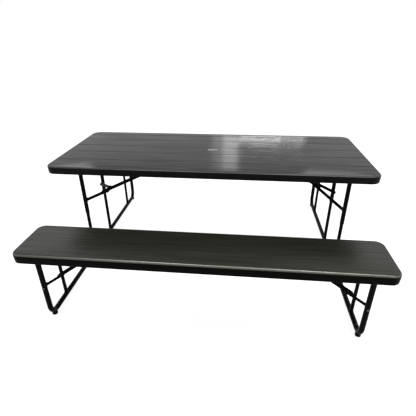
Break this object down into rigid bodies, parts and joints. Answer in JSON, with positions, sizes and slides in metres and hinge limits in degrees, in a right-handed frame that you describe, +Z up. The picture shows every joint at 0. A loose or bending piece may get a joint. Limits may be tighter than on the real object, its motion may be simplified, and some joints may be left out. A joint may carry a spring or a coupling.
{
  "type": "folding_picnic_table",
  "caption": "Folding picnic table with a wood-grain charcoal top and matching benches on shared black tube end frames with folding braces",
  "frame": {"origin": "on the floor, below the middle of the table top", "axes": "+X along the table, +Y away from the bench in front, +Z up"},
  "size_m": [1.859, 1.6644, 0.7475],
  "materials": {
    "charcoal_top": "embossed wood grain, satin",
    "dark_top": "embossed wood grain, satin",
    "black_plastic": "moulded, satin",
    "black_steel": "powder coat, satin",
    "bright_rivet": "plated"
  },
  "bodies": {
    "benches": {"bench_top_front": "dark_top", "bench_top_rear": "dark_top", "bench_brackets_front_left": "black_steel", "bench_brackets_front_right": "black_steel", "bench_brackets_rear_left": "black_steel", "bench_brackets_rear_right": "black_steel"},
    "table": {"table_top": "charcoal_top", "table_brackets_left": "black_steel", "table_brackets_right": "black_steel"},
    "umbrella_cap": {"umbrella_cap": "black_plastic"},
    "frame_left": {"frame_tube_left": "black_steel", "table_stubs_left": "black_steel", "stub_caps_left": "black_plastic", "foot_pads_left": "black_plastic", "bench_pins_left": "bright_rivet", "bench_inner_leg_front_left": "black_steel", "bench_inner_leg_rear_left": "black_steel", "bench_hinge_bar_front_left": "black_steel", "bench_hinge_bar_rear_left": "black_steel"},
    "table_leg_left": {"table_hinge_bar_left": "black_steel", "table_upright_left_front": "black_steel", "table_upright_left_rear": "black_steel", "table_end_plugs_left": "black_plastic", "wishbone_pins_left": "bright_rivet"},
    "wishbone_left": {"wishbone_rod_left_front": "black_steel", "wishbone_rod_left_rear": "black_steel"},
    "channel_left": {"table_channel_left": "black_steel", "channel_rivet_left": "bright_rivet"},
    "bench_rod_front_left": {"bench_rod_front_left": "black_steel"},
    "bench_link_front_left": {"bench_link_front_left": "black_steel", "link_rivet_front_left": "bright_rivet"},
    "bench_rod_rear_left": {"bench_rod_rear_left": "black_steel"},
    "bench_link_rear_left": {"bench_link_rear_left": "black_steel", "link_rivet_rear_left": "bright_rivet"},
    "frame_right": {"frame_tube_right": "black_steel", "table_stubs_right": "black_steel", "stub_caps_right": "black_plastic", "foot_pads_right": "black_plastic", "bench_pins_right": "bright_rivet", "bench_inner_leg_front_right": "black_steel", "bench_inner_leg_rear_right": "black_steel", "bench_hinge_bar_front_right": "black_steel", "bench_hinge_bar_rear_right": "black_steel"},
    "table_leg_right": {"table_hinge_bar_right": "black_steel", "table_upright_right_front": "black_steel", "table_upright_right_rear": "black_steel", "table_end_plugs_right": "black_plastic", "wishbone_pins_right": "bright_rivet"},
    "wishbone_right": {"wishbone_rod_right_front": "black_steel", "wishbone_rod_right_rear": "black_steel"},
    "channel_right": {"table_channel_right": "black_steel", "channel_rivet_right": "bright_rivet"},
    "bench_rod_front_right": {"bench_rod_front_right": "black_steel"},
    "bench_link_front_right": {"bench_link_front_right": "black_steel", "link_rivet_front_right": "bright_rivet"},
    "bench_rod_rear_right": {"bench_rod_rear_right": "black_steel"},
    "bench_link_rear_right": {"bench_link_rear_right": "black_steel", "link_rivet_rear_right": "bright_rivet"}
  },
  "joints": [
    {"name": "table_lift", "type": "slide", "parent": "benches", "child": "table", "axis": [0, 0, 1], "range_m": [0, 0.12]},
    {"name": "umbrella_cap_lift", "type": "slide", "parent": "table", "child": "umbrella_cap", "axis": [0, 0, 1], "range_m": [0, 0.06]},
    {"name": "frame_fold_left", "type": "hinge", "parent": "benches", "child": "frame_left", "pos_m": [-0.833, 0, 0.416], "axis": [0, -1, 0], "range_deg": [0, 80]},
    {"name": "table_leg_fold_left", "type": "hinge", "parent": "table", "child": "table_leg_left", "pos_m": [-0.833, 0, 0.701], "axis": [0, -1, 0], "range_deg": [0, 84]},
    {"name": "wishbone_turn_left", "type": "hinge", "parent": "table_leg_left", "child": "wishbone_left", "pos_m": [-0.833, 0, 0.421], "axis": [0, -1, 0], "range_deg": [0, 76.1]},
    {"name": "channel_turn_left", "type": "hinge", "parent": "table", "child": "channel_left", "pos_m": [-0.248, -0.108, 0.701], "axis": [0, -1, 0], "range_deg": [-20.4, 0]},
    {"name": "bench_rod_turn_front_left", "type": "hinge", "parent": "frame_left", "child": "bench_rod_front_left", "pos_m": [-0.833, -0.7466, 0.211], "axis": [0, -1, 0], "range_deg": [0, 86.6]},
    {"name": "bench_link_turn_front_left", "type": "hinge", "parent": "benches", "child": "bench_link_front_left", "pos_m": [-0.54, -0.7273, 0.416], "axis": [0, -1, 0], "range_deg": [-13.9, 0]},
    {"name": "bench_rod_turn_rear_left", "type": "hinge", "parent": "frame_left", "child": "bench_rod_rear_left", "pos_m": [-0.833, 0.7466, 0.211], "axis": [0, -1, 0], "range_deg": [0, 86.6]},
    {"name": "bench_link_turn_rear_left", "type": "hinge", "parent": "benches", "child": "bench_link_rear_left", "pos_m": [-0.54, 0.7273, 0.416], "axis": [0, -1, 0], "range_deg": [-13.9, 0]},
    {"name": "frame_fold_right", "type": "hinge", "parent": "benches", "child": "frame_right", "pos_m": [0.833, 0, 0.416], "axis": [0, 1, 0], "range_deg": [0, 80]},
    {"name": "table_leg_fold_right", "type": "hinge", "parent": "table", "child": "table_leg_right", "pos_m": [0.833, 0, 0.701], "axis": [0, 1, 0], "range_deg": [0, 84]},
    {"name": "wishbone_turn_right", "type": "hinge", "parent": "table_leg_right", "child": "wishbone_right", "pos_m": [0.833, 0, 0.421], "axis": [0, 1, 0], "range_deg": [0, 76.1]},
    {"name": "channel_turn_right", "type": "hinge", "parent": "table", "child": "channel_right", "pos_m": [0.248, 0.108, 0.701], "axis": [0, 1, 0], "range_deg": [-20.4, 0]},
    {"name": "bench_rod_turn_front_right", "type": "hinge", "parent": "frame_right", "child": "bench_rod_front_right", "pos_m": [0.833, -0.7466, 0.211], "axis": [0, 1, 0], "range_deg": [0, 86.6]},
    {"name": "bench_link_turn_front_right", "type": "hinge", "parent": "benches", "child": "bench_link_front_right", "pos_m": [0.54, -0.7273, 0.416], "axis": [0, 1, 0], "range_deg": [-13.9, 0]},
    {"name": "bench_rod_turn_rear_right", "type": "hinge", "parent": "frame_right", "child": "bench_rod_rear_right", "pos_m": [0.833, 0.7466, 0.211], "axis": [0, 1, 0], "range_deg": [0, 86.6]},
    {"name": "bench_link_turn_rear_right", "type": "hinge", "parent": "benches", "child": "bench_link_rear_right", "pos_m": [0.54, 0.7273, 0.416], "axis": [0, 1, 0], "range_deg": [-13.9, 0]}
  ],
  "couplings": [
    {"joint": "wishbone_turn_left", "follows": "table_leg_fold_left", "ratio": 0.90329},
    {"joint": "channel_turn_left", "follows": "table_leg_fold_left", "ratio": -0.23956},
    {"joint": "bench_rod_turn_front_left", "follows": "frame_fold_left", "ratio": 1.0795},
    {"joint": "bench_link_turn_front_left", "follows": "frame_fold_left", "ratio": -0.17048},
    {"joint": "bench_rod_turn_rear_left", "follows": "frame_fold_left", "ratio": 1.0795},
    {"joint": "bench_link_turn_rear_left", "follows": "frame_fold_left", "ratio": -0.17048},
    {"joint": "wishbone_turn_right", "follows": "table_leg_fold_right", "ratio": 0.90329},
    {"joint": "channel_turn_right", "follows": "table_leg_fold_right", "ratio": -0.23956},
    {"joint": "bench_rod_turn_front_right", "follows": "frame_fold_right", "ratio": 1.0795},
    {"joint": "bench_link_turn_front_right", "follows": "frame_fold_right", "ratio": -0.17048},
    {"joint": "bench_rod_turn_rear_right", "follows": "frame_fold_right", "ratio": 1.0795},
    {"joint": "bench_link_turn_rear_right", "follows": "frame_fold_right", "ratio": -0.17048}
  ]
}
